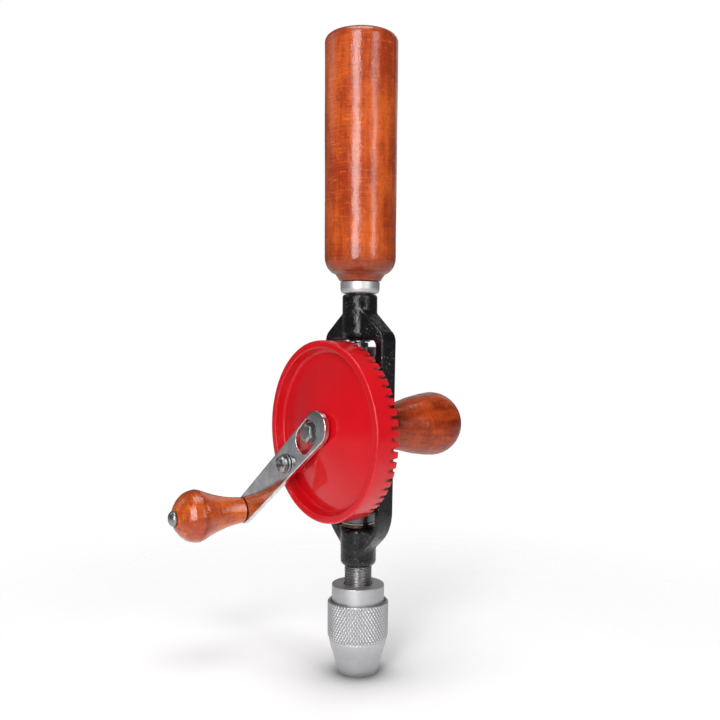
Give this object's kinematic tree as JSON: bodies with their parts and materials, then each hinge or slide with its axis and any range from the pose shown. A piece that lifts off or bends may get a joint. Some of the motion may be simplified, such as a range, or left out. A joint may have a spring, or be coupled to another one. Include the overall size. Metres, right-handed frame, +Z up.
{
  "type": "hand drill",
  "caption": "Hand drill with a long wooden grip, a large bevel drive wheel turned by a front crank, a wooden side handle and a screw-closed jaw chuck.",
  "frame": {"origin": "on the spindle axis at the lower end of the chuck, where a clamped bit leaves it", "axes": "+Z up the spindle axis from the chuck nose to the end of the main handle; the drive wheel and crank face -Y and the side handle points to +Y"},
  "size_m": [0.1144, 0.129, 0.3014],
  "materials": {
    "handle_wood": "orange-brown varnish, glossy",
    "knob_wood": "orange varnish, glossy",
    "red_enamel": "gloss red enamel",
    "black_enamel": "gloss black enamel over rough casting",
    "polished_steel": "bright polished strip",
    "screw_steel": "plated screw steel",
    "gear_steel": "cut gear steel",
    "dark_steel": "oiled dark steel",
    "ferrule_aluminium": "satin",
    "chuck_steel": "satin zinc plate, knurled band",
    "bearing_bronze": "oiled bearing bronze"
  },
  "bodies": {
    "frame": {"frame_casting": "black_enamel", "main_handle": "handle_wood", "handle_ferrule": "ferrule_aluminium", "handle_tang": "screw_steel", "side_handle": "handle_wood", "side_handle_stud": "screw_steel", "side_handle_washer": "screw_steel", "axle_bolt": "screw_steel", "axle_washer": "polished_steel", "idler_pin": "screw_steel", "idler_washer": "screw_steel", "spindle_bush": "bearing_bronze"},
    "wheel": {"drive_wheel": "red_enamel", "wheel_hub_bush": "bearing_bronze", "crank_arm": "polished_steel", "crank_screw": "screw_steel", "crank_screw_washer": "screw_steel", "knob_pin": "screw_steel"},
    "knob": {"crank_knob": "knob_wood"},
    "spindle": {"spindle": "dark_steel", "drive_pinion": "gear_steel", "pinion_cross_pin": "screw_steel", "spindle_thrust_washer": "polished_steel", "chuck_body": "chuck_steel"},
    "idler": {"idler_pinion": "gear_steel"},
    "sleeve_ring": {"sleeve_thrust_ring": "screw_steel"},
    "sleeve": {"chuck_sleeve": "chuck_steel"},
    "jaw_1": {"chuck_jaw_1": "chuck_steel"},
    "jaw_2": {"chuck_jaw_2": "chuck_steel"},
    "jaw_3": {"chuck_jaw_3": "chuck_steel"}
  },
  "joints": [
    {"name": "wheel_spin", "type": "hinge", "parent": "frame", "child": "wheel", "pos_m": [0, -0.018, 0.116], "axis": [0, 1, 0], "continuous": true},
    {"name": "knob_spin", "type": "hinge", "parent": "wheel", "child": "knob", "pos_m": [-0.0595, -0.048, 0.07117], "axis": [0, 1, 0], "continuous": true},
    {"name": "spindle_spin", "type": "hinge", "parent": "frame", "child": "spindle", "pos_m": [0, 0, 0.06], "axis": [0, 0, 1], "continuous": true},
    {"name": "idler_spin", "type": "hinge", "parent": "frame", "child": "idler", "pos_m": [0, 0, 0.152], "axis": [0, 0, 1], "continuous": true},
    {"name": "sleeve_advance", "type": "slide", "parent": "spindle", "child": "sleeve_ring", "axis": [0, 0, 1], "range_m": [-0.00063, 0.005]},
    {"name": "sleeve_turn", "type": "hinge", "parent": "sleeve_ring", "child": "sleeve", "pos_m": [0, 0, 0.025], "axis": [0, 0, 1], "range_deg": [-181, 1441]},
    {"name": "jaw_1_slide", "type": "slide", "parent": "spindle", "child": "jaw_1", "axis": [0, 1, 0], "range_m": [-0.00191, 0.00024]},
    {"name": "jaw_2_slide", "type": "slide", "parent": "spindle", "child": "jaw_2", "axis": [-0.866, -0.5, 0], "range_m": [-0.00191, 0.00024]},
    {"name": "jaw_3_slide", "type": "slide", "parent": "spindle", "child": "jaw_3", "axis": [0.866, -0.5, 0], "range_m": [-0.00191, 0.00024]}
  ],
  "couplings": [
    {"joint": "spindle_spin", "follows": "wheel_spin", "ratio": -3.5},
    {"joint": "idler_spin", "follows": "wheel_spin", "ratio": 3.5},
    {"joint": "sleeve_turn", "follows": "sleeve_advance", "rad_per_m": 5026.5},
    {"joint": "jaw_1_slide", "follows": "sleeve_advance", "ratio": -0.38},
    {"joint": "jaw_2_slide", "follows": "sleeve_advance", "ratio": -0.38},
    {"joint": "jaw_3_slide", "follows": "sleeve_advance", "ratio": -0.38}
  ]
}
